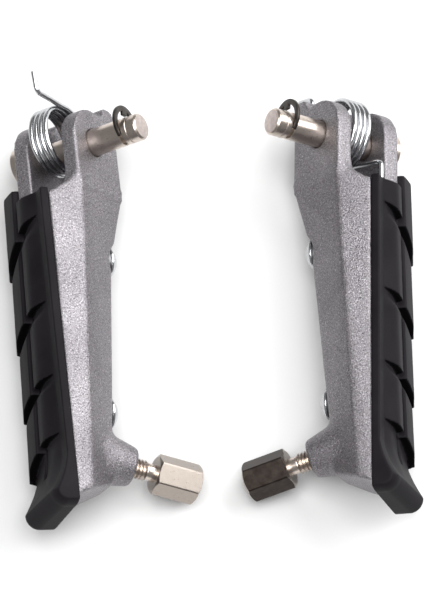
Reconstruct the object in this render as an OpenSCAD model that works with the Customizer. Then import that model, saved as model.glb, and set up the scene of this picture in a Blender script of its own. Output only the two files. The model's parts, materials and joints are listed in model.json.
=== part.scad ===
// Pair of folding motorcycle footpegs, left and right hand, with rubber treads,
// pivot pins, return springs and bank feelers. The pair lies on its sides on a
// surface, tips towards -Y and treads facing outwards; the right peg mirrors
// the left one about the plane X = 0. The origin is on the surface.
//
// Each peg is drawn in its own frame: origin on the pivot axis midway between
// the ears, +Z out of the tread, +X towards the free end of the pin and -Y
// towards the tip. "Down the peg" below means a distance along -Y.

/* [Layout] */
// Distance between the two pivot centres
pivot_span = 85; // [76:1:100]
// Angle by which each tip leans towards the middle
tip_lean = 4; // [0:0.1:6]
// Roll of each peg about its long axis, from tread up
lying_roll = 68.4; // [66:0.1:70]
// Height of the pivot centre above the surface
pivot_height = 17; // [16.5:0.1:20]
// Place of the pivot centres along Y
pivot_y = 46; // [40:0.5:55]

/* [Pivot] */
// Slant of the pivot pin below the tread plane
pin_slant = 36; // [34:1:38]
// Diameter of the pivot pin
pin_d = 8; // [7.5:0.5:8]
// Radial running clearance of the pin in the ears
pin_clearance = 0.06; // [0.02:0.01:0.1]
// Width over the two ears
ear_span = 21.8; // [21:0.1:22]
// Thickness of one ear
ear_t = 5; // [4.5:0.5:5.5]
// Radius of the rounded ear front about the pin
ear_r = 10.3; // [9.5:0.1:10.5]
// Length of the pin that stands out of the near ear
pin_free = 16.5; // [15:0.5:20]

/* [Casting] */
// Depth of the fork slot, from the pivot centre down the peg
slot_end = 16.6; // [16:0.1:17]
// Where the casting ends, down the peg
body_end = 106; // [104:1:107]
// Height of the tread platform above the pivot axis
deck_z = 10.4; // [10:0.1:11]
// Half width of the tread platform
deck_half = 13; // [12:0.5:13]

/* [Tread] */
// Where the rubber starts, down the peg
pad_start = 15.9; // [15.9:0.1:17]
// Where the rubber ends, down the peg
pad_end = 110.5; // [109:0.5:112]
// Thickness of the rubber base along its edges
pad_base = 2; // [1.5:0.5:2.5]
// Height of the tread lugs above the base
lug_h = 2.4; // [1.5:0.1:3]
// Radius of the raised lip at the tip
lip_r = 4.3; // [4:0.1:5]

/* [Screws and feeler] */
// Places of the two tread screws, down the peg
screw_at = [33, 79]; // [25:1:85]
// Radius of the domed screw heads
screw_head_r = 4.7; // [4.5:0.1:5]
// Width across the flats of the feeler
feeler_af = 10.4; // [10:0.1:12]
// Length of the feeler's hexagon
feeler_len = 14.4; // [12:0.1:20]
// Splay of the feeler towards the tip
feeler_splay = 16; // [14:1:19]
// Gap between the boss and the feeler's hexagon
feeler_gap = 6.6; // [4:0.1:7]

/* [Return spring] */
// Diameter of the spring wire
wire_d = 1.6; // [1.4:0.1:1.7]
// Radius of the coil at the middle of the wire
coil_r = 9.8; // [9.5:0.1:10]
// Full turns of the coil
coil_turns = 4; // [3:1:4]

/* [Hidden] */

$fn = 64;
eps = 0.02;

// Casting
near_face = 11.8;          // place of the near ear's outer face along the pin
far_face = near_face - ear_span;
ear_back = 12;             // reach of the ears behind the pin
heel_top = 13.2;           // height of the stop heels above the pin
heel_w = 6;                // width of the stop heels
heel_r = 2.2;              // rounding of the stop heels
dip_r = 2.4;               // radius of the dip between an ear's front and its heel
step_at = 12;              // where the cast body stands proud of the ears' machined faces
step = 0.5;                // height of that step
deck_start = 15.6;         // where the ears end and the platform starts
deck_fillet = 5.6;         // fillet between the ears' front and the platform's end
flank_lean = 10.2;         // lean of the platform's near flank
flank_fade = 8;            // angle at which the flank runs out along the near ear
slot_r = 3;                // rounding of the slot's floor
waist_at = 34;             // where the deep end of the body turns into the slim beam
tip_rake = 17;              // rake of the body's end face, from the deck back to the underside
slice = 0.4;               // thickness of the slices that the body is lofted from

// Feeler boss and thread
boss_at = 92.4;            // where the feeler's axis crosses the pivot level, down the peg
boss_reach = 11.6;         // length of the boss along its axis
boss_r = 5.5;              // radius of the boss at its mouth
boss_root_r = 8.2;         // radius of the boss at its root
thread_r = 3;              // radius of the feeler's thread
thread_fit = 0.05;         // radial clearance of the thread in its bore
thread_in = 10;            // length of thread inside the boss
neck_len = 2;              // plain neck behind the hexagon
neck_r = 2.6;              // radius of the plain neck

// Rows of lugs on the tread
split_x = -1;              // place of the groove between the rows, across the peg
far_start = 11;            // where the far row starts, down the peg
near_steps = [26, 52.5, 74.5, 91];
far_steps = [36, 58, 78.5, 96.5];

// Screws, washers and the plate inside the rubber
plate_t = 2;               // thickness of the steel plate
plate_half = 9.5;          // half width of the steel plate
plate_margin = 6;          // distance of the plate from each end of the rubber
shank_r = 2.5;             // radius of the screw shanks
shank_bore_r = 2.8;        // radius of the screw holes in the casting
spot_r = 5.6;              // radius of the flat spot faces under the washers
washer_r = 4.4;            // outer radius of the spring washers
washer_t = 1.1;            // thickness of the spring washers
washer_gap = 1.2;          // width of the split in a spring washer
head_h = 2.7;              // height of the domed heads
socket_r = 1.75;           // radius of the hexagon sockets
socket_depth = 1.6;        // depth of the hexagon sockets
screw_x = -2.2;            // place of the screws across the peg

// Pin and clip
pin_r = pin_d / 2;
bore_r = pin_r + pin_clearance;
head_r = 5.9;              // radius of the pin's head
head_t = 5.2;              // thickness of the pin's head
side_gap = 0.1;            // play of the pin's head against the ear
groove_r = 3;              // radius of the clip groove
groove_w = 1.1;            // width of the clip groove
groove_back = 5.1;         // distance of the groove from the pin's end
clip_t = 0.9;              // thickness of the clip
clip_r = 6;                // outer radius of the clip
clip_inner_r = 4.3;        // inner radius of the clip between its prongs
prong_w = 2.2;             // width of the clip's middle prong
prong_len = 1.3;           // reach of the clip's middle prong
clip_rise = 2;             // distance by which the clip stands out of its seat
clip_open = 80;            // angle of the clip's mouth

// Spring
turn_steps = 18;           // rings in one turn of the coil
wire_sides = 6;            // sides of the wire
coil_pitch = wire_d + 0.06;
long_leg = 14.1;           // length of the long leg
long_rise = 0.9;           // rise of the long leg over its length
hook_len = 6;              // length of the long leg's bent end
short_leg = 14.1;          // length of the short leg
short_rise = 2.4;          // rise of the short leg over its length
short_hook = 5.2;           // length of the short leg's bent end
// Where each loose coil hangs: [behind the pin, above the pin, place along it, turn]
left_hang = [-1.6, 3.4, 3.9, 0];
right_hang = [1.4, 2.7, 5.2, -90];

// ---------------------------------------------------------------- frames

// Places the left peg's frame in the layout
module lay_left() {
    translate([-pivot_span / 2, pivot_y, pivot_height])
        rotate([0, 0, tip_lean])
            rotate([0, -lying_roll, 0])
                children();
}

// The right peg mirrors the left
module lay_right() {
    mirror([1, 0, 0]) lay_left() children();
}

// Turns +Z to the pin's free end, and +X away from the ears' rounded front
module along_pin() {
    rotate([0, 90 + pin_slant, 0]) children();
}

// Turns +Z to the outward direction of the feeler, from the boss centre
module along_feeler() {
    translate([0, -boss_at, 0]) rotate([180 - feeler_splay, 0, 0]) children();
}

// Turns +Z to the outward direction of a tread screw on the underside
module at_screw(down, z) {
    translate([screw_x, -down, z]) mirror([0, 0, 1]) children();
}

// ---------------------------------------------------------------- casting

// Heights down the peg: the underside, and the lower edge of the platform's flank
function belly_z(down) = -11 + 7.6 * (down - waist_at) / (body_end - waist_at);
function flank_z(down) = 1.5 + 4.3 * (down - waist_at) / (body_end - waist_at);

// Half width of the platform at a distance down the peg
function deck_w(down) = deck_half - 1.4 * max(0, down - waist_at) / (body_end - waist_at);

// A point across the peg, given behind the pin's axis and along it
function across(behind, along) =
    [along * cos(pin_slant) - behind * sin(pin_slant), -along * sin(pin_slant) - behind * cos(pin_slant)];

// Section of the body at the fork: its underside and near wall follow the ears
module fork_section() {
    low = 9.9;
    polygon([[deck_half, deck_z], [deck_half + low * tan(flank_lean), deck_z - low],
             across(ear_back + step, near_face), across(ear_back + step, far_face - 2),
             [-deck_half - 1, 0], [-deck_half, deck_z]]);
}

// Section of the slim beam: platform, leaning flanks and slanting near wall
module beam_section(down) {
    w = deck_w(down);
    flare = 1.1 * (body_end - down) / (body_end - waist_at);
    low = flank_z(down);
    belly = belly_z(down);
    wall = (low - belly) * tan(pin_slant) + 2.6 * (body_end - down) / (body_end - waist_at);
    polygon([[w, deck_z], [w + flare, low], [w + flare - wall, belly],
             [-w / 2, belly], [-w - flare, low - 2], [-w, deck_z]]);
}

// Stands a section up across the peg at a distance down it
module slab(down) {
    translate([0, -down, 0]) rotate([90, 0, 0]) linear_extrude(slice) children();
}

// Outline of an ear across the pin: rounded front, dip and stop heel
module ear_outline() {
    difference() {
        union() {
            circle(r = ear_r);
            translate([-ear_r, -deck_start]) square([ear_r + ear_back, deck_start]);
            translate([2, 0]) square([ear_back - heel_w / 2 - 2, ear_r + 1]);
            translate([ear_back - heel_w, 0]) square([heel_w, heel_top - heel_r]);
            translate([ear_back - heel_w + heel_r, 0]) square([heel_w - 2 * heel_r, heel_top]);
            for (x = [ear_back - heel_w + heel_r, ear_back - heel_r])
                translate([x, heel_top - heel_r]) circle(r = heel_r, $fn = 32);
        }
        translate([ear_back - heel_w - dip_r + 0.4, ear_r + dip_r - 0.4]) circle(r = dip_r, $fn = 32);
        translate([2, ear_r]) square([2, 4]);
    }
}

// Outline in front of the ears that is cut away, down to the fillet on the platform's end
module front_cut() {
    translate([-40, -deck_start]) difference() {
        square([40 - ear_r, 60]);
        translate([40 - ear_r - deck_fillet, -1]) square([deck_fillet + 1, deck_fillet + 1]);
    }
    translate([-ear_r - deck_fillet, -deck_start + deck_fillet]) circle(r = deck_fillet);
}

module body_shell() {
    hull() {
        slab(step_at) fork_section();
        slab(waist_at) beam_section(waist_at);
    }
    hull() {
        slab(waist_at) beam_section(waist_at);
        translate([0, -body_end + slice, deck_z]) rotate([90 + tip_rake, 0, 0]) linear_extrude(slice)
            translate([0, -deck_z]) beam_section(body_end);
    }
    // the platform runs up between the ears' fronts
    translate([0, -4, 0]) rotate([90, 0, 0]) linear_extrude(step_at - 4 + slice) intersection() {
        fork_section();
        rotate(-pin_slant) translate([far_face, 0]) square([near_face - far_face, 30]);
    }
}

module feeler_boss() {
    along_feeler()
        translate([0, 0, -4]) cylinder(r1 = boss_root_r + 1, r2 = boss_r, h = boss_reach + 4);
}

module casting() {
    difference() {
        union() {
            along_pin() translate([0, 0, far_face]) linear_extrude(ear_span) ear_outline();
            difference() {
                body_shell();
                along_pin() translate([0, 0, -40]) linear_extrude(80) front_cut();
            }
            intersection() {
                feeler_boss();
                translate([-20, -130, -40]) cube([40, 60, 40 + deck_z]);
            }
        }
        // the near ear's front edge runs out into the platform's flank
        translate([deck_half, -deck_start, deck_z]) rotate([0, -flank_lean, 0]) rotate([0, 0, -flank_fade])
            translate([0, 0, -30]) cube([20, 60, 60]);
        // fork slot, with a rounded floor
        along_pin() {
            near_wall = near_face - ear_t;
            far_wall = far_face + ear_t;
            translate([-30, -slot_end + slot_r, far_wall]) cube([60, 60, near_wall - far_wall]);
            translate([-30, -slot_end, far_wall + slot_r]) cube([60, 10, near_wall - far_wall - 2 * slot_r]);
            for (z = [near_wall - slot_r, far_wall + slot_r])
                translate([-30, -slot_end + slot_r, z]) rotate([0, 90, 0]) cylinder(r = slot_r, h = 60);
        }
        // pin bores through both ears
        along_pin() translate([0, 0, -30]) cylinder(r = bore_r, h = 60);
        // screw holes, and spot faces for the washers
        for (down = screw_at) {
            at_screw(down, deck_z + 1) cylinder(r = shank_bore_r, h = 40);
            at_screw(down, belly_z(down) + 1) cylinder(r = spot_r, h = 20);
        }
        // feeler's thread
        along_feeler() translate([0, 0, boss_reach - thread_in - 1]) cylinder(r = thread_r + thread_fit, h = 20);
    }
}

// ---------------------------------------------------------------- tread

// Profile of a row of lugs along the peg: base, four saw-tooth lugs and the tip
module tread_profile(start, steps) {
    base = deck_z + pad_base;
    polygon(concat(
        [[start, deck_z], [start, base + 0.8]],
        [for (i = [0:3]) each [[i == 0 ? start + 2 : steps[i - 1] + 2, base + lug_h - 0.6],
                               [steps[i], base + lug_h], [steps[i] + 0.6, base + 0.8]]],
        [[pad_end - 8, base + 0.8], [pad_end, base + 1], [pad_end, deck_z + 0.6], [pad_end - 1, deck_z]]));
}

// Row of lugs between two places across the peg
module tread_row(from, to, start, steps) {
    translate([from, 0, 0]) rotate([90, 0, 90])
        linear_extrude(to - from) mirror([1, 0]) tread_profile(start, steps);
}

// Raised lip across the tip of the rubber, climbing towards the pin's head: a chamfered bar
module tread_lip() {
    end = deck_half - lip_r - 0.3;
    from = [end, -pad_end + lip_r + 1.5, deck_z + 2.9];
    reach = [-2 * end, -1.9, 1.3];
    long = norm(reach);
    flat = 0.5 * lip_r;
    difference() {
        translate(from) rotate([0, acos(reach[2] / long), atan2(reach[1], reach[0])])
            rotate_extrude() polygon([[0, -lip_r], [flat, -lip_r], [lip_r, -flat],
                                      [lip_r, long + flat], [flat, long + lip_r], [0, long + lip_r]]);
        translate([-20, -pad_end - 5, deck_z - 10]) cube([40, 30, 10]);
    }
}

module tread_rubber() {
    difference() {
        union() {
            tread_row(split_x, deck_half, pad_start, near_steps);
            difference() {
                tread_row(-deck_half, split_x + 0.4, far_start, far_steps);
                // clears the far ear
                along_pin() translate([-30, -deck_start - 0.1, far_face - 0.4]) cube([60, 40, 40]);
            }
            tread_lip();
        }
        // groove between the two rows of lugs
        translate([split_x - 0.8, -97, deck_z + pad_base + 0.8]) cube([1.6, 97 - pad_start - 3, 10]);
        // the plate is moulded in
        plate_shape();
    }
}

// Steel plate with two threaded bosses, flush with the rubber's underside
module plate_shape() {
    translate([-plate_half, -pad_end + plate_margin, deck_z])
        cube([2 * plate_half, pad_end - pad_start - 2 * plate_margin, plate_t]);
}

module tread_plate() {
    difference() {
        plate_shape();
        for (down = screw_at)
            translate([screw_x, -down, deck_z - 1]) cylinder(r = shank_r + thread_fit, h = 10);
    }
}

// ---------------------------------------------------------------- fasteners

module screw(down) {
    seat = belly_z(down) + 1 - washer_t;
    at_screw(down, seat) {
        difference() {
            intersection() {
                cylinder(r = screw_head_r, h = head_h);
                translate([0, 0, head_h - 6.2]) sphere(r = 6.2);
            }
            translate([0, 0, head_h - socket_depth]) cylinder(r = socket_r, h = 5, $fn = 6);
        }
        translate([0, 0, -(deck_z + plate_t - seat) + 0.2]) cylinder(r = shank_r, h = deck_z + plate_t - seat);
    }
}

module washer(down) {
    at_screw(down, belly_z(down) + 1)
        difference() {
            cylinder(r = washer_r, h = washer_t);
            translate([0, 0, -1]) cylinder(r = shank_r + 0.2, h = 5);
            rotate([0, 0, 40]) translate([0, -washer_gap / 2, -1]) cube([10, washer_gap, 5]);
        }
}

// Hexagonal bank feeler with a domed end, a plain neck and a threaded stud
module feeler() {
    along_feeler() translate([0, 0, boss_reach]) {
        translate([0, 0, -thread_in]) cylinder(r = thread_r, h = thread_in + feeler_gap - neck_len);
        cylinder(r = neck_r, h = feeler_gap + 1);
        translate([0, 0, feeler_gap])
            intersection() {
                rotate([0, 0, 12]) cylinder(r = feeler_af / sqrt(3), h = feeler_len, $fn = 6);
                translate([0, 0, feeler_len - 10.6]) sphere(r = 10.6);
                cylinder(r = 7, h = feeler_len);
            }
    }
}

// ---------------------------------------------------------------- pin, clip, spring

module pivot_pin() {
    tail = near_face + pin_free;
    along_pin() difference() {
        union() {
            translate([0, 0, far_face - side_gap]) cylinder(r = pin_r, h = tail - 0.6 - far_face + side_gap);
            translate([0, 0, tail - 0.6 - eps]) cylinder(r1 = pin_r, r2 = pin_r - 0.6, h = 0.6 + eps);
            translate([0, 0, far_face - side_gap - head_t + 0.8]) cylinder(r = head_r, h = head_t - 0.8);
            translate([0, 0, far_face - side_gap - head_t]) cylinder(r1 = head_r - 1, r2 = head_r, h = 0.8 + eps);
        }
        translate([0, 0, tail - groove_back - groove_w])
            difference() {
                cylinder(r = pin_r + 1, h = groove_w);
                translate([0, 0, -1]) cylinder(r = groove_r, h = groove_w + 2);
            }
    }
}

// E-shaped clip, an open ring with a middle prong, that stands partly out of the pin's groove
module retaining_clip() {
    z = near_face + pin_free - groove_back - groove_w + (groove_w - clip_t) / 2;
    along_pin() translate([0, clip_rise, z]) linear_extrude(clip_t) {
        difference() {
            circle(r = clip_r);
            circle(r = clip_inner_r);
            polygon([[0, 0], [10 * sin(clip_open / 2), -10 * cos(clip_open / 2)],
                     [0, -12], [-10 * sin(clip_open / 2), -10 * cos(clip_open / 2)]]);
        }
        translate([-prong_w / 2, clip_inner_r - prong_len]) square([prong_w, prong_len + 0.5]);
    }
}

// Centre line of a spring about its own axis: the long leg comes in along the top
// of the coil, and the short leg leaves down its back, where it ends in a hook
function spring_path() = let (last = coil_turns + 0.25, z = -coil_pitch * last)
    concat(
        [[-long_leg - 0.8, coil_r + long_rise + hook_len, 0],
         [-long_leg - 0.2, coil_r + long_rise + 1.4, 0],
         [-long_leg + 0.5, coil_r + long_rise + 0.2, 0],
         [-long_leg + 1.8, coil_r + long_rise * 0.9 - 0.2, 0],
         [-long_leg / 2, coil_r + long_rise / 2, 0]],
        [for (i = [0:turn_steps * last]) let (a = 360 * i / turn_steps)
            [coil_r * sin(a), coil_r * cos(a), -coil_pitch * i / turn_steps]],
        [[coil_r + short_rise / 2, -short_leg / 2, z],
         [coil_r + short_rise * 0.9, -short_leg + 1.5, z],
         [coil_r + short_rise + 0.4, -short_leg + 0.4, z],
         [coil_r + short_rise + 1.4, -short_leg, z],
         [coil_r + short_rise + short_hook, -short_leg, z]]);

function unit(v) = v / norm(v);

// Direction of a path at point i
function heading(path, i) = unit(path[min(i + 1, len(path) - 1)] - path[max(i - 1, 0)]);

// A side direction carried along the path without twisting it
function carried(path, i, side) =
    let (t = heading(path, i), s = unit(side - t * (side * t)))
    i == len(path) - 1 ? [s] : concat([s], carried(path, i + 1, s));

// Closed tube of radius r along a path
module tube(path, r, sides) {
    n = len(path);
    side = carried(path, 0, [0.3, 0.1, 1]);
    rings = [for (i = [0:n - 1]) let (t = heading(path, i), s = side[i], c = cross(t, s))
        for (k = [0:sides - 1]) let (a = 360 * k / sides) path[i] + r * (cos(a) * s + sin(a) * c)];
    skin = [for (i = [0:n - 2]) for (k = [0:sides - 1]) let (j = (k + 1) % sides)
        each [[i * sides + k, (i + 1) * sides + k, (i + 1) * sides + j],
              [i * sides + k, (i + 1) * sides + j, i * sides + j]]];
    polyhedron(rings, concat(skin, [[for (k = [0:sides - 1]) k]],
                             [[for (k = [sides - 1:-1:0]) (n - 1) * sides + k]]), convexity = 10);
}

module return_spring(hang) {
    along_pin() translate([hang[0], hang[1], hang[2]]) rotate([0, 0, hang[3]])
        tube(spring_path(), wire_d / 2, wire_sides);
}

// ---------------------------------------------------------------- the pair

module left_casting() { color("darkgray") lay_left() casting(); }
module left_tread_rubber() { color([0.12, 0.12, 0.13]) lay_left() tread_rubber(); }
module left_tread_plate() { color("gray") lay_left() tread_plate(); }
module left_inner_screw() { color("silver") lay_left() screw(screw_at[0]); }
module left_outer_screw() { color("silver") lay_left() screw(screw_at[1]); }
module left_inner_washer() { color("lightgray") lay_left() washer(screw_at[0]); }
module left_outer_washer() { color("lightgray") lay_left() washer(screw_at[1]); }
module left_feeler() { color([0.78, 0.72, 0.68]) lay_left() feeler(); }
module left_pivot_pin() { color([0.75, 0.7, 0.66]) lay_left() pivot_pin(); }
module left_retaining_clip() { color([0.2, 0.2, 0.21]) lay_left() retaining_clip(); }
module left_return_spring() { color("silver") lay_left() return_spring(left_hang); }

module right_casting() { color("darkgray") lay_right() casting(); }
module right_tread_rubber() { color([0.12, 0.12, 0.13]) lay_right() tread_rubber(); }
module right_tread_plate() { color("gray") lay_right() tread_plate(); }
module right_inner_screw() { color("silver") lay_right() screw(screw_at[0]); }
module right_outer_screw() { color("silver") lay_right() screw(screw_at[1]); }
module right_inner_washer() { color("lightgray") lay_right() washer(screw_at[0]); }
module right_outer_washer() { color("lightgray") lay_right() washer(screw_at[1]); }
module right_feeler() { color([0.78, 0.72, 0.68]) lay_right() feeler(); }
module right_pivot_pin() { color([0.75, 0.7, 0.66]) lay_right() pivot_pin(); }
module right_retaining_clip() { color([0.2, 0.2, 0.21]) lay_right() retaining_clip(); }
module right_return_spring() { color("silver") lay_right() return_spring(right_hang); }

left_casting();
left_tread_rubber();
left_tread_plate();
left_inner_screw();
left_outer_screw();
left_inner_washer();
left_outer_washer();
left_feeler();
left_pivot_pin();
left_retaining_clip();
left_return_spring();
right_casting();
right_tread_rubber();
right_tread_plate();
right_inner_screw();
right_outer_screw();
right_inner_washer();
right_outer_washer();
right_feeler();
right_pivot_pin();
right_retaining_clip();
right_return_spring();
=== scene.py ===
import json
import math

import bpy
import numpy as np
from mathutils import Matrix, Vector


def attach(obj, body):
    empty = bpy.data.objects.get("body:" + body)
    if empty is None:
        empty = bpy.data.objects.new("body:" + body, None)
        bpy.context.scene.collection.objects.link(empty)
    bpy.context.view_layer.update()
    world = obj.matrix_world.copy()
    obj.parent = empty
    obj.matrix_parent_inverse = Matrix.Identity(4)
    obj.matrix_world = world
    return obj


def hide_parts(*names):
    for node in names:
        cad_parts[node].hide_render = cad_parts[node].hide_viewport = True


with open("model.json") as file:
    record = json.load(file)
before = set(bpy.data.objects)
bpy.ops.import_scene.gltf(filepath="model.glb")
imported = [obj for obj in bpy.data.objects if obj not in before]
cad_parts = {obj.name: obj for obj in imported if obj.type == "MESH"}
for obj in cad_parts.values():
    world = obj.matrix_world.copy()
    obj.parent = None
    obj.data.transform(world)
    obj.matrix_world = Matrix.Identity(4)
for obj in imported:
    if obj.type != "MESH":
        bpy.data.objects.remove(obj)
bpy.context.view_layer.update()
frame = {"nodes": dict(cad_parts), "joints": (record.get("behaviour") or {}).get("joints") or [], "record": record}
MM = 0.001
SIDES = ("left", "right")

# ------------------------------------------------------------------ the pegs' frames
# Each peg has its own frame, in millimetres: x across the tread, -y down the peg and
# z out of the tread, with its origin on the pivot axis. The right peg mirrors the left.
# The pin and the feeler have frames of their own inside it, each with z along its axis.
LEAN, ROLL, SLANT, SPLAY = (math.radians(a) for a in (4.0, 68.4, 36.0, 16.0))
PIVOT = Vector(next(j for j in frame["joints"] if j["name"] == "left_fold")["pos_m"])
LAY = Matrix.Translation(PIVOT) @ Matrix.Rotation(LEAN, 4, "Z") @ Matrix.Rotation(-ROLL, 4, "Y")
PIN = Matrix.Rotation(math.pi / 2 + SLANT, 4, "Y")
FEELER_DOWN = 92.4
FEELER = Matrix.Translation((0, -FEELER_DOWN, 0)) @ Matrix.Rotation(math.pi - SPLAY, 4, "X")


def move(points, matrix):
    """Points moved by a 4 x 4 matrix whose shift is in the points' own units."""
    m = np.array(matrix, float)
    return np.asarray(points, float) @ m[:3, :3].T + m[:3, 3]


def lay_out(points, side):
    """Millimetre points in a peg's frame, as metre points in the shared frame."""
    out = move(np.asarray(points, float) * MM, LAY)
    if side == "right":
        out[:, 0] *= -1
    return out


def build(name, points, faces, material, body, nodes, side, sharp):
    """A piece that rides on a body and replaces CAD nodes.

    The points are in the shared frame. Edges sharper than `sharp` degrees stay crisp.
    """
    mesh = bpy.data.meshes.new(name)
    if side == "right":
        faces = [tuple(reversed(f)) for f in faces]
    mesh.from_pydata([tuple(p) for p in points], [], [tuple(f) for f in faces])
    mesh.validate()
    mesh.materials.append(material)
    mesh.shade_smooth()
    mesh.set_sharp_from_angle(angle=math.radians(sharp))
    piece = bpy.data.objects.new(name, mesh)
    bpy.context.scene.collection.objects.link(piece)
    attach(piece, body)
    if nodes:
        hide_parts(*nodes)
    return piece


def lathe(profile, segments):
    """Closed solid turned about z from (radius, z) pairs that start and end on the axis."""
    points, faces = [(0.0, 0.0, profile[0][1])], []
    turns = [2 * math.pi * k / segments for k in range(segments)]
    for r, z in profile[1:-1]:
        points += [(r * math.cos(t), r * math.sin(t), z) for t in turns]
    points.append((0.0, 0.0, profile[-1][1]))
    last, rings = len(points) - 1, len(profile) - 2
    for k in range(segments):
        j = (k + 1) % segments
        faces.append((0, 1 + j, 1 + k))
        for i in range(rings - 1):
            a, b = 1 + i * segments, 1 + (i + 1) * segments
            faces.append((a + k, a + j, b + j, b + k))
        top = 1 + (rings - 1) * segments
        faces.append((last, top + k, top + j))
    return np.array(points), faces


def ring_faces(rings, sides):
    """Faces of a closed skin over rings of points, with a cap at each end."""
    faces = []
    for i in range(rings - 1):
        low, high = i * sides, (i + 1) * sides
        for k in range(sides):
            j = (k + 1) % sides
            faces.append((low + k, low + j, high + j, high + k))
    faces.append(tuple(reversed(range(sides))))
    faces.append(tuple((rings - 1) * sides + k for k in range(sides)))
    return faces


def tube(path, radius, sides=14):
    """Closed round tube along a path, with its rings carried along without twisting."""
    path = [Vector(p) for p in path]
    points, n = [], len(path)
    across = Vector((0.3, 0.1, 1.0))  # any direction the path doesn't start along
    for i, p in enumerate(path):
        t = (path[min(i + 1, n - 1)] - path[max(i - 1, 0)]).normalized()
        across = (across - t * across.dot(t)).normalized()
        other = t.cross(across)
        for k in range(sides):
            a = 2 * math.pi * k / sides
            points.append(tuple(p + radius * (math.cos(a) * across + math.sin(a) * other)))
    return np.array(points), ring_faces(n, sides)


# ------------------------------------------------------------------ materials
def new_material(name, color, metallic, roughness):
    """A Principled material in plain values; nodes linked later take over from them."""
    material = bpy.data.materials.new(name)
    material.use_nodes = True
    shader = material.node_tree.nodes["Principled BSDF"]
    shader.inputs["Base Color"].default_value = (*color, 1)
    shader.inputs["Metallic"].default_value = metallic
    shader.inputs["Roughness"].default_value = roughness
    return material, material.node_tree.nodes, material.node_tree.links, shader


def noise(nodes, links, scale, detail, rough):
    """Noise over the object's own coordinates. scale is in features per metre."""
    place = nodes.new("ShaderNodeTexCoord")
    texture = nodes.new("ShaderNodeTexNoise")
    texture.inputs["Scale"].default_value = scale
    texture.inputs["Detail"].default_value = detail
    texture.inputs["Roughness"].default_value = rough
    links.new(place.outputs["Object"], texture.inputs["Vector"])
    return texture.outputs["Fac"]


def ramp(nodes, links, source, stops):
    """Colour by a source value, through (place, colour) stops."""
    node = nodes.new("ShaderNodeValToRGB")
    links.new(source, node.inputs["Fac"])
    band = node.color_ramp
    while len(band.elements) < len(stops):
        band.elements.new(0.5)
    for element, (at, color) in zip(band.elements, stops):
        element.position = at
        element.color = (*color, 1)
    return node.outputs["Color"]


def span(nodes, links, source, low, high):
    """A source value from 0 to 1, spread from low to high."""
    node = nodes.new("ShaderNodeMapRange")
    node.inputs["To Min"].default_value = low
    node.inputs["To Max"].default_value = high
    links.new(source, node.inputs["Value"])
    return node.outputs["Result"]


def bump(nodes, links, shader, source, strength, distance):
    """Grain in the shading. distance is in metres."""
    node = nodes.new("ShaderNodeBump")
    node.inputs["Strength"].default_value = strength
    node.inputs["Distance"].default_value = distance
    links.new(source, node.inputs["Height"])
    links.new(node.outputs["Normal"], shader.inputs["Normal"])


def multiply(nodes, links, a, b):
    """The product of two colours."""
    node = nodes.new("ShaderNodeMix")
    node.data_type = "RGBA"
    node.blend_type = "MULTIPLY"
    node.inputs["Factor"].default_value = 1.0
    links.new(a, node.inputs["A"])
    links.new(b, node.inputs["B"])
    return node.outputs["Result"]


def toned(color, tone):
    return tuple(channel * tone for channel in color)


def cast_aluminium():
    """Shot-blasted aluminium: a fine grain with dark pits and bright specks."""
    material, nodes, links, shader = new_material(
        "cast_aluminium", (0.2, 0.195, 0.2), metallic=0.95, roughness=0.38)
    grain = noise(nodes, links, scale=2500.0, detail=3.0, rough=0.65)
    cloud = noise(nodes, links, scale=55.0, detail=2.0, rough=0.5)
    specks = ramp(nodes, links, grain, [(0.3, (0.05, 0.048, 0.05)),
                                        (0.42, (0.205, 0.197, 0.206)),
                                        (0.6, (0.335, 0.325, 0.336)),
                                        (0.74, (0.75, 0.74, 0.75))])
    tone = ramp(nodes, links, cloud, [(0.32, (0.76, 0.74, 0.765)), (0.68, (1.0, 0.985, 1.0))])
    links.new(multiply(nodes, links, specks, tone), shader.inputs["Base Color"])
    links.new(span(nodes, links, grain, low=0.34, high=0.52), shader.inputs["Roughness"])
    bump(nodes, links, shader, grain, strength=0.85, distance=0.00025)
    return material


def black_rubber(name, tone):
    """Moulded rubber. tone scales its colour and sheen, dusty bloom included; a low tone paints shade on the
    steps' faces.
    """
    material, nodes, links, shader = new_material(
        name, (0.012, 0.0105, 0.013), metallic=0.0, roughness=0.48)
    shader.inputs["Specular IOR Level"].default_value = 0.06 * tone
    grain = noise(nodes, links, scale=900.0, detail=3.0, rough=0.6)
    cloud = noise(nodes, links, scale=60.0, detail=3.0, rough=0.6)
    stops = [(0.3, toned((0.0068, 0.0058, 0.0072), tone)),
             (0.75, toned((0.014, 0.012, 0.0145), tone))]
    links.new(ramp(nodes, links, cloud, stops), shader.inputs["Base Color"])
    links.new(span(nodes, links, cloud, low=0.42, high=0.62), shader.inputs["Roughness"])
    bump(nodes, links, shader, grain, strength=0.25, distance=0.0001)
    return material


def nickel_steel(name, tone):
    """Nickel-plated steel with a fine unevenness and a warm tint. tone scales its colour."""
    material, nodes, links, shader = new_material(
        name, (0.6, 0.53, 0.47), metallic=1.0, roughness=0.26)
    cloud = noise(nodes, links, scale=900.0, detail=3.0, rough=0.7)
    fine = noise(nodes, links, scale=3200.0, detail=2.0, rough=0.5)
    stops = [(0.3, toned((0.56, 0.49, 0.435), tone)),
             (0.7, toned((0.62, 0.545, 0.485), tone))]
    links.new(ramp(nodes, links, cloud, stops), shader.inputs["Base Color"])
    links.new(span(nodes, links, cloud, low=0.26, high=0.3), shader.inputs["Roughness"])
    bump(nodes, links, shader, fine, strength=0.12, distance=0.00005)
    return material


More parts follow.
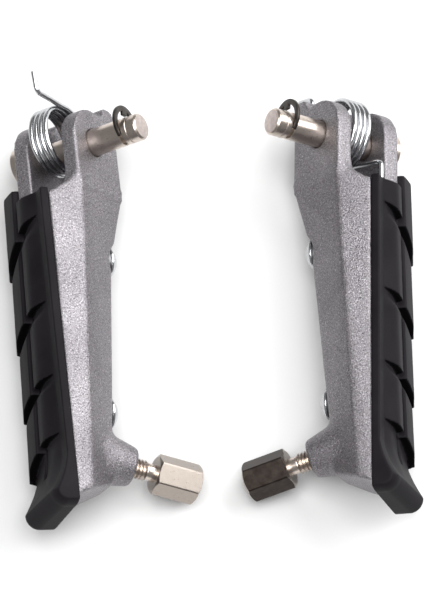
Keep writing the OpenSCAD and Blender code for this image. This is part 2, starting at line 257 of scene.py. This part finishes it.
def pin_face():
    """The pin's sawn, matt end."""
    material, nodes, links, shader = new_material(
        "pin_face", (0.4, 0.35, 0.33), metallic=1.0, roughness=0.38)
    cloud = noise(nodes, links, scale=700.0, detail=3.0, rough=0.6)
    stops = [(0.3, (0.42, 0.36, 0.34)), (0.7, (0.58, 0.51, 0.48))]
    links.new(ramp(nodes, links, cloud, stops), shader.inputs["Base Color"])
    bump(nodes, links, shader, cloud, strength=0.2, distance=0.0001)
    return material


def zinc_steel():
    """Bright zinc plate with a soft clouding."""
    material, nodes, links, shader = new_material(
        "zinc_steel", (0.72, 0.73, 0.75), metallic=1.0, roughness=0.2)
    cloud = noise(nodes, links, scale=260.0, detail=2.0, rough=0.5)
    stops = [(0.3, (0.46, 0.465, 0.48)), (0.7, (0.6, 0.61, 0.625))]
    links.new(ramp(nodes, links, cloud, stops), shader.inputs["Base Color"])
    links.new(span(nodes, links, cloud, low=0.14, high=0.28), shader.inputs["Roughness"])
    return material


def plain_metal(name, dark, light, metallic, low, high):
    """Metal clouded between two colours, with its roughness from low to high."""
    material, nodes, links, shader = new_material(name, light, metallic, low)
    cloud = noise(nodes, links, scale=400.0, detail=3.0, rough=0.6)
    links.new(ramp(nodes, links, cloud, [(0.3, dark), (0.7, light)]), shader.inputs["Base Color"])
    links.new(span(nodes, links, cloud, low, high), shader.inputs["Roughness"])
    return material


MATERIALS = {
    "cast_aluminium": cast_aluminium(),
    "black_rubber": black_rubber("black_rubber", tone=1.0),
    "nickel_steel": nickel_steel("nickel_steel", tone=1.0),
    "zinc_steel": zinc_steel(),
    "dark_steel": plain_metal("dark_steel", dark=(0.1, 0.1, 0.105), light=(0.2, 0.2, 0.21),
                              metallic=0.9, low=0.32, high=0.48),
    "plate_steel": plain_metal("plate_steel", dark=(0.4, 0.4, 0.41), light=(0.52, 0.52, 0.53),
                               metallic=1.0, low=0.35, high=0.5),
    "black_steel": plain_metal("black_steel", dark=(0.018, 0.015, 0.013),
                               light=(0.05, 0.043, 0.038), metallic=0.7, low=0.28, high=0.42),
}
PIN_FACE = pin_face()
HEX_NICKEL = nickel_steel("hex_nickel", tone=0.58)
# a darker, less glossy copy of the rubber: painted shade on the steps' faces that look down the peg
PAINTED_SHADE_RUBBER = black_rubber("painted_shade_rubber", tone=0.22)
# a near-black nickel: a painted dark reflection on the right hexagon's flats
DARK_REFLECTION_NICKEL = plain_metal("nickel_painted_reflection", dark=(0.028, 0.022, 0.019),
                          light=(0.056, 0.045, 0.039), metallic=1.0, low=0.3, high=0.42)
for subpart in frame["record"]["subparts"]:
    node = frame["nodes"][subpart["node"]]
    node.data.materials.clear()
    node.data.materials.append(MATERIALS[subpart["material_slot"]])


# ------------------------------------------------------------------ castings
CAST_VOXEL = 0.42
CAST_WEIGHT, CAST_TURNS = 0.6, 5                          # rounds every cast edge
ROOT_UP, ROOT_SIZE, ROOT_REACH = 4.5, (13, 12, 9), 1.35   # the blend round the boss's root
ROOT_WEIGHT, ROOT_TURNS = 0.6, 45
BOSS_TOP, BOSS_FADE = 6.8, 3.0                            # above this the boss keeps its edge
FLANK_FROM, FLANK_FADE = 17, 6                            # the flank, down the peg
FLANK_ABOVE = 4                                           # and along the pin
FLANK_WEIGHT, FLANK_TURNS = 0.5, 10
ROOT_TOP, FLANK_TOP, TOP_FADE = 9.6, 9.8, 1.5             # the deck stays flat


def remeshed(points, faces, voxel):
    """Points, faces and edges of an even quad mesh round a closed one."""
    mesh = bpy.data.meshes.new("work")
    mesh.from_pydata([tuple(p) for p in points], [], [tuple(f) for f in faces])
    mesh.validate()
    work = bpy.data.objects.new("work", mesh)
    bpy.context.scene.collection.objects.link(work)
    modifier = work.modifiers.new("even", "REMESH")
    modifier.mode = "VOXEL"
    modifier.voxel_size = voxel
    modifier.adaptivity = 0.0
    done = work.evaluated_get(bpy.context.evaluated_depsgraph_get()).to_mesh()
    out = np.zeros(len(done.vertices) * 3)
    done.vertices.foreach_get("co", out)
    new_faces = [tuple(p.vertices) for p in done.polygons]
    edges = np.zeros(len(done.edges) * 2, int)
    done.edges.foreach_get("vertices", edges)
    bpy.data.objects.remove(work)
    return out.reshape(-1, 3), new_faces, edges.reshape(-1, 2)


def relax(points, edges, weight, turns):
    """Evens out a mesh: each turn moves a point towards its neighbours' mean by its weight."""
    a, b = np.r_[edges[:, 0], edges[:, 1]], np.r_[edges[:, 1], edges[:, 0]]
    count = np.bincount(a, minlength=len(points))[:, None]
    for _ in range(turns):
        mean = np.stack([np.bincount(a, points[b, k], len(points)) for k in range(3)], 1) / count
        points = points + weight[:, None] * (mean - points)
    return points


def fade_out(values, end, over):
    """1 well below an end value, 0 from it on."""
    return np.clip((end - values) / over, 0, 1)


def smooth_casting():
    """The casting with rounded cast edges and a deep blend round the feeler's boss."""
    source = frame["nodes"]["left_casting"].data
    points = np.zeros(len(source.vertices) * 3)
    source.vertices.foreach_get("co", points)
    local = move(points.reshape(-1, 3), LAY.inverted()) / MM
    source_faces = [tuple(p.vertices) for p in source.polygons]
    local, faces, edges = remeshed(local, source_faces, CAST_VOXEL)
    local = relax(local, edges, np.full(len(local), CAST_WEIGHT), CAST_TURNS)
    # the boss's root and the body's end
    root = move([(0, 0, ROOT_UP)], FEELER)[0]
    distance = np.linalg.norm((local - root) / ROOT_SIZE, axis=1)
    up_boss = move(local, FEELER.inverted())[:, 2]
    weight = ROOT_WEIGHT * np.clip(ROOT_REACH - distance, 0, 1)
    weight *= fade_out(up_boss, BOSS_TOP, BOSS_FADE)
    weight *= fade_out(local[:, 2], ROOT_TOP, TOP_FADE)
    local = relax(local, edges, weight, ROOT_TURNS)
    # the flank's edges between the fork and the tip
    along_pin = move(local, PIN.inverted())[:, 2]
    flank = fade_out(local[:, 1], -FLANK_FROM, FLANK_FADE)
    flank *= fade_out(local[:, 2], FLANK_TOP, TOP_FADE)
    weight = FLANK_WEIGHT * flank * (along_pin > FLANK_ABOVE)
    return relax(local, edges, weight, FLANK_TURNS), faces


casting, casting_faces = smooth_casting()
for side in SIDES:
    build(f"{side}_casting_skin", lay_out(casting, side), casting_faces,
          MATERIALS["cast_aluminium"], f"{side}_peg",
          [f"{side}_casting"], side, sharp=180.0)


# ------------------------------------------------------------------ treads
# t is the place across the tread, from the near edge (positive) to the far one;
# a is the place down the peg; heights are out of the tread.
DECK, HALF = 10.4, 13.0                                   # underside, half the width
NEAR_ROW, FAR_ROW, ROW_SPLIT = 15.9, 11.0, -2.4           # where each row starts
TREAD_VOXEL, TREAD_WEIGHT, TREAD_TURNS = 0.28, 0.5, 2
ACROSS_POINTS, DOWN_POINTS = 151, 620
# four steps, by where each meets the near and the far edge
NEAR_AT, FAR_AT = [22.3, 48.6, 70.4, 87.4], [37.2, 59.4, 80.0, 97.6]
BEND_FROM, BEND_OVER, BEND_END = 12.5, 25.0, 0.992        # the steps' curve across the tread
BEND_SLANT, BEND_ROUND = 0.27, 0.77
SCALE_FROM, STEP_EDGE = 5.0, 0.3
# the crown's height, its rise from the near edge and its fall to the far one, each
# with the places across (-t) that it runs between
CROWN, CROWN_RISE, CROWN_FALL = 12.4, 1.0, 0.9
RISE_ACROSS, FALL_ACROSS = (-11.6, -4.0), (9.5, 13.4)
# a step's height grows across the tread in two rises, by the share of the width
LUG, LUG_MORE = 2.6, 0.3
LUG_ACROSS, MORE_ACROSS = (0.07, 0.4), (0.5, 0.75)
# a scale's share of that height: at its start, gained at once, gained on the way
SCALE_LOW, SCALE_QUICK, SCALE_SLOW, QUICK_END = 0.14, 0.6, 0.26, 0.2
LAST_SLOW, LAST_OVER = 0.3, 12                            # the scale that runs into the lip
# the groove between the rows, which ends before the lip, and the fine one
GROOVE_AT, GROOVE_HALF, GROOVE_LOW, GROOVE_MORE = -1.5, 1.35, 1.3, 1.5
GROOVE_END = (96.5, 99.0)
FINE_AT, FINE_HALF, FINE_DEEP = 11.5, 0.5, 0.45
LEAST = 12.85                                             # keeps the steel plate covered
# the lip's round bar: (across, down the peg, height) of its axis at its two ends
LIP_R, LIP_NEAR, LIP_FAR = 4.3, (8.7, 104.7, 13.3), (-8.7, 106.6, 14.6)
LIP_ENDS, LIP_CUT = (0.7, 0.98), 0.985                    # how its ends round off
SWEEP, SWEEP_POWER = 11, 1.7                              # the rubber's rise into the lip
# beside the far ear the underside follows the ear's outer face, clear of it
EAR_PLANE, EAR_FROM, EAR_GAP, THINNEST = 10.4, -5.4, 0.12, 0.3
EAR_COS, EAR_SIN = 0.809, 0.588                           # of the pins' slant
# the steps' own faces look down the peg, before the lip and above the crown's edge; they are painted darker as
# shade
SHADE_FACING, SHADE_END, SHADE_ABOVE = -0.5, -99.0, 12.0


def smoothstep(x, low, high):
    s = np.clip((x - low) / (high - low), 0, 1)
    return s * s * (3 - 2 * s)


def lip_at(t):
    """Place down the peg, height and radius of the lip's round, across the tread."""
    share = np.clip((LIP_NEAR[0] - t) / (LIP_NEAR[0] - LIP_FAR[0]), 0, 1)
    beyond = np.maximum(0, np.abs(t) - LIP_NEAR[0]) * np.where(t > 0, *LIP_ENDS)
    down = LIP_NEAR[1] + share * (LIP_FAR[1] - LIP_NEAR[1])
    height = LIP_NEAR[2] + share * (LIP_FAR[2] - LIP_NEAR[2])
    return down, height, np.sqrt(np.clip(LIP_R ** 2 - beyond ** 2, 0.01, None))


def tread_top(t, a):
    """Height of the rubber: scales that rise to curved steps, two grooves and the tip's lip."""
    s = np.clip((BEND_FROM - t) / BEND_OVER, 0, BEND_END)
    bend = BEND_SLANT * s + BEND_ROUND * (1 - np.sqrt(1 - s * s))
    crown = (CROWN + CROWN_RISE * smoothstep(-t, *RISE_ACROSS)
             - CROWN_FALL * smoothstep(-t, *FALL_ACROSS))
    lug = LUG * smoothstep(s, *LUG_ACROSS) + LUG_MORE * smoothstep(s, *MORE_ACROSS)
    # the share of the lug's height, scale by scale
    before = SCALE_FROM + 0 * t
    share = np.zeros_like(t)
    for near, far in zip(NEAR_AT, FAR_AT):
        at = near + (far - near) * bend
        rise = np.clip((a - before) / (at - before), 0, 1)
        scale = SCALE_LOW + SCALE_QUICK * smoothstep(rise, 0.0, QUICK_END) + SCALE_SLOW * rise
        share = np.where((a >= before) & (a < at), scale * fade_out(a, at, STEP_EDGE), share)
        before = at
    last = SCALE_LOW + LAST_SLOW * np.clip((a - before) / LAST_OVER, 0, 1)
    share = np.where(a >= before, last, share)
    height = crown + lug * share
    # the groove between the two rows, and a fine one inside the near edge
    groove = 1 - np.clip(np.abs(t - GROOVE_AT) / GROOVE_HALF, 0, 1) ** 6
    groove = (GROOVE_LOW + GROOVE_MORE * share) * (1 - smoothstep(a, *GROOVE_END)) * groove
    fine = FINE_DEEP * (1 - np.clip(np.abs(t - FINE_AT) / FINE_HALF, 0, 1) ** 2)
    height = np.maximum(height - groove - fine, LEAST)
    # the lip
    down, middle, radius = lip_at(t)
    past = a - down
    round_end = middle + np.sqrt(np.clip(radius ** 2 - past ** 2, 0, None))
    sweep = np.clip((a - (down - SWEEP)) / SWEEP, 0, 1) ** SWEEP_POWER
    height = height + sweep * np.maximum(middle + radius - height, 0)
    return np.where(past > 0, round_end, height)


def tread_mesh():
    """Closed rubber solid from the height field, evened out so that its edges are round."""
    t, u = np.meshgrid(np.linspace(HALF, -HALF, ACROSS_POINTS),
                       np.linspace(0, 1, DOWN_POINTS), indexing="ij")
    start = np.where(t > ROW_SPLIT, NEAR_ROW, FAR_ROW)
    down, _, radius = lip_at(t)
    a = start + (down + radius * LIP_CUT - start) * u
    top = tread_top(t, a)
    ear_side = (EAR_PLANE + EAR_COS * t) / EAR_SIN + EAR_GAP
    low = np.where((a < NEAR_ROW) & (t > EAR_FROM), ear_side, DECK)
    low = np.minimum(np.maximum(DECK, low), top - THINNEST)
    upper = np.stack([t, -a, top], -1).reshape(-1, 3)
    lower = np.stack([t, -a, low], -1).reshape(-1, 3)
    n, m = t.shape
    count = n * m
    faces = []
    for i in range(n - 1):
        for j in range(m - 1):
            quad = (i * m + j, i * m + j + 1, (i + 1) * m + j + 1, (i + 1) * m + j)
            faces.append(quad)
            faces.append(tuple(count + k for k in reversed(quad)))
    rim = ([i * m for i in range(n)], [i * m + m - 1 for i in reversed(range(n))],
           [(n - 1) * m + j for j in range(m)], list(reversed(range(m))))
    for line in rim:
        for p, q in zip(line, line[1:]):
            faces.append((p, q, count + q, count + p))
    points, faces, edges = remeshed(np.r_[upper, lower], faces, TREAD_VOXEL)
    return relax(points, edges, np.full(len(points), TREAD_WEIGHT), TREAD_TURNS), faces


def painted_shade_faces(points, faces):
    """1 for the faces that look down the peg on the steps, which get painted shade, 0 for the others."""
    corners = points[np.array(faces)]
    facing = np.cross(corners[:, 2] - corners[:, 0], corners[:, 3] - corners[:, 1])
    facing /= np.linalg.norm(facing, axis=1)[:, None] + 1e-12
    middle = corners.mean(1)
    return ((facing[:, 1] < SHADE_FACING) & (middle[:, 1] > SHADE_END)
            & (middle[:, 2] > SHADE_ABOVE)).astype(np.int32)


tread, tread_faces = tread_mesh()
for side in SIDES:
    rubber = build(f"{side}_tread_skin", lay_out(tread, side), tread_faces,
                   MATERIALS["black_rubber"], f"{side}_peg",
                   [f"{side}_tread_rubber"], side, sharp=180.0)
    # the faces that look down the peg take the darker rubber: painted shade
    rubber.data.materials.append(PAINTED_SHADE_RUBBER)
    rubber.data.polygons.foreach_set("material_index", painted_shade_faces(tread, tread_faces))


# ------------------------------------------------------------------ pins
NEAR_FACE, FAR_FACE, PIN_FREE = 11.8, -10.0, 16.5         # the ears' outer faces, the tail
PIN_R, CLIP_R, CLIP_W, CLIP_BACK = 4.0, 3.0, 1.1, 5.1     # the clip's groove
HEAD_R, HEAD_T, HEAD_DOME, HEAD_EDGE, HEAD_GAP = 5.9, 5.2, 0.9, 0.25, 0.1
EDGE = 0.12                                               # the groove's broken edges
RING_AT, RING_W, RING_DEEP, RING_SLOPE = 1.5, 0.65, 0.16, 0.15    # a shallow turned ring
PIN_SEGMENTS = 112


def pin_profile():
    """(radius, z) of the pin: its domed head, the clip's groove, a ring and the rounded end."""
    tail, low = NEAR_FACE + PIN_FREE, FAR_FACE - HEAD_GAP
    groove, head = tail - CLIP_BACK, low - HEAD_T
    ring = groove + RING_AT
    dome = [(HEAD_R * math.sin(a), head + HEAD_DOME - HEAD_DOME * math.cos(a))
            for a in np.linspace(0.12, math.pi / 2, 9)]
    shoulder = [(HEAD_R, low - HEAD_EDGE), (HEAD_R - HEAD_EDGE, low), (PIN_R, low + 0.01)]
    clip = [(PIN_R, groove - CLIP_W - EDGE), (PIN_R - EDGE, groove - CLIP_W),
            (CLIP_R, groove - CLIP_W + 0.01), (CLIP_R, groove - 0.01),
            (PIN_R - EDGE, groove), (PIN_R, groove + EDGE)]
    turned = [(PIN_R, ring), (PIN_R - RING_DEEP, ring + RING_SLOPE),
              (PIN_R - RING_DEEP, ring + RING_W - RING_SLOPE), (PIN_R, ring + RING_W)]
    end = [(PIN_R, tail - 0.62), (PIN_R - 0.12, tail - 0.4),
           (PIN_R - 0.52, tail - 0.03), (PIN_R - 0.66, tail)]
    return [(0, head)] + dome + shoulder + clip + turned + end + [(0, tail)]


points, faces = lathe(pin_profile(), PIN_SEGMENTS)
for side in SIDES:
    pin = build(f"{side}_pin_turned", lay_out(move(points, PIN), side), faces,
                MATERIALS["nickel_steel"], "pivot_pins",
                [f"{side}_pivot_pin"], side, sharp=28.0)
    pin.data.materials.append(PIN_FACE)
    for polygon in pin.data.polygons:
        if len(points) - 1 in polygon.vertices:
            polygon.material_index = 1


# ------------------------------------------------------------------ springs
WIRE_R, COIL_R, COIL_TURNS, COIL_STEPS, PITCH = 0.8, 9.8, 4.25, 56, 1.66
LEG, LEG_RISE, HOOK, SHORT, SHORT_RISE, SHORT_HOOK = 14.1, 0.9, 6.0, 14.1, 2.4, 5.2
# each coil hangs loose: its place (x, y, z) in the pin's frame and its turn about the pin
HANG = {"left": (-1.6, 3.4, 3.9, 0.0), "right": (1.4, 2.7, 5.2, -90.0)}


def spring_line():
    """The wire's path: a hooked long leg, the coil about z, and a hooked short leg."""
    top, z, x = COIL_R + LEG_RISE, -PITCH * COIL_TURNS, COIL_R + SHORT_RISE
    hook = [(-LEG - 0.8, top + HOOK, 0), (-LEG - 0.5, top + 3.6, 0), (-LEG - 0.2, top + 1.4, 0)]
    bend = [(-LEG + 0.05, top + 0.7, 0), (-LEG + 0.5, top + 0.2, 0), (-LEG + 1.1, top - 0.05, 0)]
    leg = [(-LEG + 1.8, COIL_R + LEG_RISE * 0.9 - 0.1, 0),
           (-LEG * 0.7, COIL_R + LEG_RISE * 0.68, 0),
           (-LEG / 2, COIL_R + LEG_RISE / 2, 0), (-LEG / 4, COIL_R + LEG_RISE / 8, 0)]
    coil = []
    for i in range(int(COIL_STEPS * COIL_TURNS) + 1):
        a = 2 * math.pi * i / COIL_STEPS
        coil.append((COIL_R * math.sin(a), COIL_R * math.cos(a), -PITCH * i / COIL_STEPS))
    short_leg = [(COIL_R + 0.3, -SHORT / 5, z), (COIL_R + SHORT_RISE / 2, -SHORT / 2, z),
                 (x - 0.35, -SHORT + 2.4, z)]
    short_bend = [(x - 0.1, -SHORT + 1.2, z), (x + 0.35, -SHORT + 0.45, z),
                  (x + 1.0, -SHORT + 0.08, z), (x + 1.7, -SHORT, z)]
    return hook + bend + leg + coil + short_leg + short_bend + [(x + SHORT_HOOK, -SHORT, z)]


points, faces = tube(spring_line(), WIRE_R)
for side in SIDES:
    x, y, z, turn = HANG[side]
    place = PIN @ Matrix.Translation((x, y, z)) @ Matrix.Rotation(math.radians(turn), 4, "Z")
    build(f"{side}_spring_wire", lay_out(move(points, place), side), faces,
          MATERIALS["zinc_steel"], f"{side}_peg",
          [f"{side}_return_spring"], side, sharp=50.0)


# ------------------------------------------------------------------ feelers
AF, HEX_L, HEX_FROM, DOME_R = 10.4, 14.4, 18.2, 10.6      # across the flats, length, start
HEX_TURN, HEX_CORNER, HEX_POINTS = math.radians(12), 0.12, 180
SEAT_R, SHOULDER_R, SHOULDER_SLOPE = 3.4, 4.9, 0.6
THREAD_R, THREAD_DEEP, THREAD_PITCH, THREAD_ROUND, NECK_R = 3.0, 0.52, 1.0, 0.9, 2.45
THREAD_FROM, THREAD_TO, THREAD_FADE = 1.6, 16.0, 0.7
THREAD_POINTS, THREAD_RINGS, STUD_IN = 48, 300, 0.3
FLAT = 0.05                                               # a flat's normal along the axis


def hexagon():
    """Hexagon bar with a domed end and a chamfered shoulder, its corners slightly rounded."""
    turns = np.linspace(0, 2 * math.pi, HEX_POINTS, endpoint=False)
    folded = (turns - HEX_TURN + math.pi / 6) % (math.pi / 3) - math.pi / 6
    reach = np.minimum(AF / 2 / np.cos(folded), AF / math.sqrt(3) - HEX_CORNER)
    one, zero = np.ones_like(reach), np.zeros_like(reach)

    def dome(share):
        return HEX_L - (DOME_R - np.sqrt(DOME_R ** 2 - (reach * share) ** 2))

    # rings: the share of the full reach, and the height from the shoulder
    rings = [(SEAT_R / reach, zero), (np.minimum(SHOULDER_R, reach) / reach, zero),
             (one, np.maximum(0.06, (reach - SHOULDER_R) * SHOULDER_SLOPE))]
    rings += [(share * one, dome(share)) for share in (1.0, 0.94, 0.82, 0.66, 0.48, 0.3, 0.12)]
    points = []
    for share, z in rings:
        points += list(zip(reach * share * np.cos(turns), reach * share * np.sin(turns),
                           HEX_FROM + z))
    return np.array(points), ring_faces(len(rings), HEX_POINTS)


def thread():
    """Threaded stud whose ridge winds along it, running out into a plain neck."""
    points = []
    for i in range(THREAD_RINGS):
        z = THREAD_FROM + (HEX_FROM + STUD_IN - THREAD_FROM) * i / (THREAD_RINGS - 1)
        fade = min(1.0, max(0.0, (THREAD_TO - z) / THREAD_FADE))
        for k in range(THREAD_POINTS):
            phase = (z / THREAD_PITCH - k / THREAD_POINTS) % 1.0
            ridge = THREAD_R - THREAD_DEEP * (1 - abs(2 * phase - 1)) ** THREAD_ROUND
            r = NECK_R + (ridge - NECK_R) * fade
            a = 2 * math.pi * k / THREAD_POINTS
            points.append((r * math.cos(a), r * math.sin(a), z))
    return np.array(points), ring_faces(THREAD_RINGS, THREAD_POINTS)


hexagon_points, hexagon_faces = hexagon()
stud_points, stud_faces = thread()
for side in SIDES:
    head = build(f"{side}_feeler_hexagon", lay_out(move(hexagon_points, FEELER), side),
                 hexagon_faces, HEX_NICKEL, f"{side}_peg",
                 [f"{side}_feeler"], side, sharp=22.0)
    if side == "right":
        # this one's flats are painted dark, a painted reflection of dark surroundings, as in the photograph
        base, tip = lay_out(move([(0, 0, 0), (0, 0, 1)], FEELER), side)
        axis = Vector(tip - base).normalized()
        head.data.materials.append(DARK_REFLECTION_NICKEL)
        for polygon in head.data.polygons:
            polygon.material_index = int(abs(polygon.normal.dot(axis)) < FLAT)
    build(f"{side}_feeler_stud", lay_out(move(stud_points, FEELER), side), stud_faces,
          MATERIALS["nickel_steel"], f"{side}_peg", [], side, sharp=40.0)


# ------------------------------------------------------------------ small parts
WELD = 0.002 * MM
BEVEL_ABOVE, CRISP_ABOVE = math.radians(35), math.radians(32)


def bevelled(node_name, width, slot, body):
    """A copy of a CAD node with its edges broken, width in millimetres."""
    piece = bpy.data.objects.new(node_name + "_edged", frame["nodes"][node_name].data.copy())
    bpy.context.scene.collection.objects.link(piece)
    weld = piece.modifiers.new("weld", "WELD")
    weld.merge_threshold = WELD
    bevel = piece.modifiers.new("bevel", "BEVEL")
    bevel.width = width * MM
    bevel.segments = 2
    bevel.limit_method = "ANGLE"
    bevel.angle_limit = BEVEL_ABOVE
    done = bpy.data.meshes.new_from_object(
        piece.evaluated_get(bpy.context.evaluated_depsgraph_get()))
    piece.modifiers.clear()
    piece.data = done
    done.materials.clear()
    done.materials.append(MATERIALS[slot])
    done.shade_smooth()
    done.set_sharp_from_angle(angle=CRISP_ABOVE)
    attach(piece, body)
    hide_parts(node_name)


for side in SIDES:
    bevelled(f"{side}_retaining_clip", 0.14, "black_steel", "pivot_pins")
    for place in ("inner", "outer"):
        bevelled(f"{side}_{place}_screw", 0.15, "zinc_steel", f"{side}_peg")
        bevelled(f"{side}_{place}_washer", 0.12, "dark_steel", f"{side}_peg")


# ------------------------------------------------------------------ stage, lights, camera
FLOOR_HALF, FLOOR_GREY = 3.0, 0.66
WORLD_STRENGTH = 0.26
LIGHTS = {  # place, size and power, in metres and watts; each one aims at the origin
    "key": ((0.64, 0.36, 0.62), 0.9, 13.0),
    "top": ((-0.05, -0.1, 1.0), 0.7, 12.0),
}
AZIMUTH, ELEVATION, CAMERA_ROLL = (math.radians(a) for a in (6.0, 71.4, 3.29))
TARGET, DISTANCE = Vector((-0.00034, 0.00152, 0.0094)), 0.7
LENS, SENSOR = 144.06, 36.0  # millimetres, along the picture's longer side

floor_mesh = bpy.data.meshes.new("floor")
floor_mesh.from_pydata([(-FLOOR_HALF, -FLOOR_HALF, 0), (FLOOR_HALF, -FLOOR_HALF, 0),
                        (FLOOR_HALF, FLOOR_HALF, 0), (-FLOOR_HALF, FLOOR_HALF, 0)],
                       [], [(0, 1, 2, 3)])
floor = bpy.data.objects.new("floor", floor_mesh)
bpy.context.scene.collection.objects.link(floor)
floor_mesh.materials.append(
    new_material("floor", (FLOOR_GREY,) * 3, metallic=0.0, roughness=0.9)[0])

world = bpy.data.worlds.new("world")
bpy.context.scene.world = world
world.use_nodes = True
background = world.node_tree.nodes["Background"]
background.inputs["Color"].default_value = (1.0, 1.0, 1.0, 1)
background.inputs["Strength"].default_value = WORLD_STRENGTH

for name, (place, size, power) in LIGHTS.items():
    light = bpy.data.lights.new(name, "AREA")
    light.shape = "SQUARE"
    light.size = size
    light.energy = power
    lamp = bpy.data.objects.new(name, light)
    lamp.location = place
    lamp.rotation_euler = (-Vector(place)).to_track_quat("-Z", "Y").to_euler()
    bpy.context.scene.collection.objects.link(lamp)
bpy.context.scene.view_settings.view_transform = "Standard"

back = Vector((-math.sin(AZIMUTH) * math.cos(ELEVATION),
               -math.cos(AZIMUTH) * math.cos(ELEVATION), math.sin(ELEVATION)))
right = (-back).cross(Vector((0, 0, 1))).normalized()
up = right.cross(-back)
axis_x = math.cos(CAMERA_ROLL) * right + math.sin(CAMERA_ROLL) * up
axis_y = -math.sin(CAMERA_ROLL) * right + math.cos(CAMERA_ROLL) * up
camera_data = bpy.data.cameras.new("camera")
camera_data.sensor_width = SENSOR
camera_data.lens = LENS
camera_data.clip_start = 0.01
camera = bpy.data.objects.new("camera", camera_data)
camera.matrix_world = Matrix.Translation(TARGET + back * DISTANCE) @ Matrix(
    (axis_x, axis_y, back)).transposed().to_4x4()
bpy.context.scene.collection.objects.link(camera)
bpy.context.scene.camera = camera
